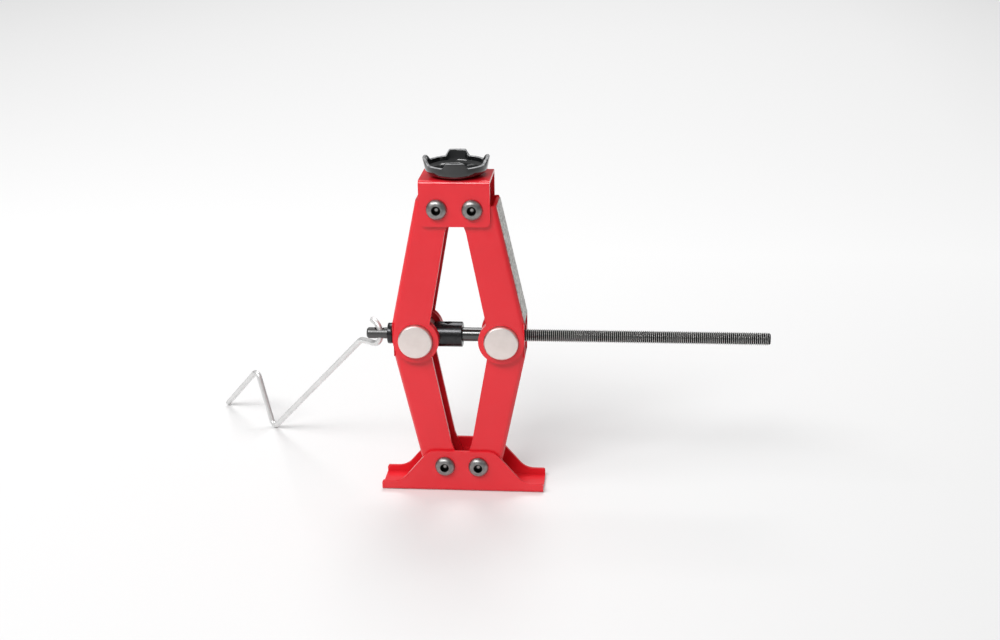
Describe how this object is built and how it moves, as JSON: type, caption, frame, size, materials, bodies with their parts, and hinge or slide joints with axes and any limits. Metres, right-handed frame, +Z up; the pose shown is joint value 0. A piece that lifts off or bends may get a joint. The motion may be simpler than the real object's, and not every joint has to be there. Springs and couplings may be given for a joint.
{
  "type": "scissor jack",
  "caption": "Small screw-driven scissor jack: channel base, four geared folding arms, cupped saddle and a bent-wire crank.",
  "frame": {"origin": "centre of the base's underside, on the ground", "axes": "+X along the lead screw towards its threaded end, +Z up, -Y towards the side with the screw heads"},
  "size_m": [0.1514, 0.0558, 0.0861],
  "materials": {
    "red_powder_coat": "even semi-gloss red powder coat",
    "dark_nickel": "dark nickel plate, smooth and fairly shiny",
    "plain_steel": "plain turned steel",
    "machined_aluminium": "pale finely turned aluminium, satin",
    "black_oxide": "black oxide on steel with a thin film of oil",
    "bright_wire": "bright zinc-plated wire",
    "black_plastic": "black moulded plastic, satin to glossy",
    "grey_film": "blank grey film, slightly satin"
  },
  "bodies": {
    "base": {"base": "red_powder_coat", "base_pivot_screw_left": "dark_nickel", "base_pivot_screw_right": "dark_nickel", "base_pivot_nut_left": "dark_nickel", "base_pivot_nut_right": "dark_nickel", "base_pivot_sleeve_left": "plain_steel", "base_pivot_sleeve_right": "plain_steel"},
    "lower_left_arm": {"lower_left_arm": "red_powder_coat", "left_front_spacer": "plain_steel", "left_rear_spacer": "plain_steel"},
    "lower_right_arm": {"lower_right_arm": "red_powder_coat", "right_front_spacer": "plain_steel", "right_rear_spacer": "plain_steel"},
    "upper_left_arm": {"upper_left_arm": "red_powder_coat"},
    "upper_right_arm": {"upper_right_arm": "red_powder_coat", "arm_label": "grey_film"},
    "top_bracket": {"top_bracket": "red_powder_coat", "saddle": "black_plastic", "saddle_screw": "black_oxide", "saddle_nut": "plain_steel", "top_pivot_screw_left": "dark_nickel", "top_pivot_screw_right": "dark_nickel", "top_pivot_nut_left": "dark_nickel", "top_pivot_nut_right": "dark_nickel", "top_pivot_sleeve_left": "plain_steel", "top_pivot_sleeve_right": "plain_steel"},
    "left_trunnion": {"left_trunnion": "machined_aluminium"},
    "right_trunnion": {"right_trunnion": "machined_aluminium"},
    "lead_screw": {"lead_screw": "black_oxide", "thrust_washer": "dark_nickel", "thrust_sleeve": "dark_nickel", "stop_collar": "black_oxide", "collar_set_screw": "black_oxide"},
    "crank_handle": {"crank_handle": "bright_wire"}
  },
  "joints": [
    {"name": "lift", "type": "hinge", "parent": "base", "child": "lower_left_arm", "pos_m": [-0.00425, 0, 0.0069], "axis": [0, -1, 0], "range_deg": [-4.5, 69]},
    {"name": "lower_right_pivot", "type": "hinge", "parent": "base", "child": "lower_right_arm", "pos_m": [0.00425, 0, 0.0069], "axis": [0, 1, 0], "range_deg": [-4.5, 69]},
    {"name": "upper_left_pivot", "type": "hinge", "parent": "lower_left_arm", "child": "upper_left_arm", "pos_m": [-0.01059, 0, 0.04076], "axis": [0, 1, 0], "range_deg": [-9, 138]},
    {"name": "upper_right_pivot", "type": "hinge", "parent": "lower_right_arm", "child": "upper_right_arm", "pos_m": [0.01059, 0, 0.04076], "axis": [0, -1, 0], "range_deg": [-9, 138]},
    {"name": "top_pivot", "type": "hinge", "parent": "upper_left_arm", "child": "top_bracket", "pos_m": [-0.00425, 0, 0.07462], "axis": [0, -1, 0], "range_deg": [-4.5, 69]},
    {"name": "left_trunnion_turn", "type": "hinge", "parent": "lower_left_arm", "child": "left_trunnion", "pos_m": [-0.01059, 0, 0.04076], "axis": [0, 1, 0], "range_deg": [-4.5, 69]},
    {"name": "right_trunnion_turn", "type": "hinge", "parent": "lower_right_arm", "child": "right_trunnion", "pos_m": [0.01059, 0, 0.04076], "axis": [0, -1, 0], "range_deg": [-4.5, 69]},
    {"name": "screw_turn", "type": "hinge", "parent": "left_trunnion", "child": "lead_screw", "pos_m": [0, 0, 0.04076], "axis": [1, 0, 0], "continuous": true},
    {"name": "crank_swing", "type": "hinge", "parent": "lead_screw", "child": "crank_handle", "pos_m": [-0.02251, 0.00188, 0.0405], "axis": [0.6561, 0.7547, 0], "range_deg": [0, 40]}
  ],
  "couplings": [
    {"joint": "lower_right_pivot", "follows": "lift", "ratio": 1},
    {"joint": "upper_left_pivot", "follows": "lift", "ratio": 2},
    {"joint": "upper_right_pivot", "follows": "lift", "ratio": 2},
    {"joint": "top_pivot", "follows": "lift", "ratio": 1},
    {"joint": "left_trunnion_turn", "follows": "lift", "ratio": 1},
    {"joint": "right_trunnion_turn", "follows": "lift", "ratio": 1}
  ]
}
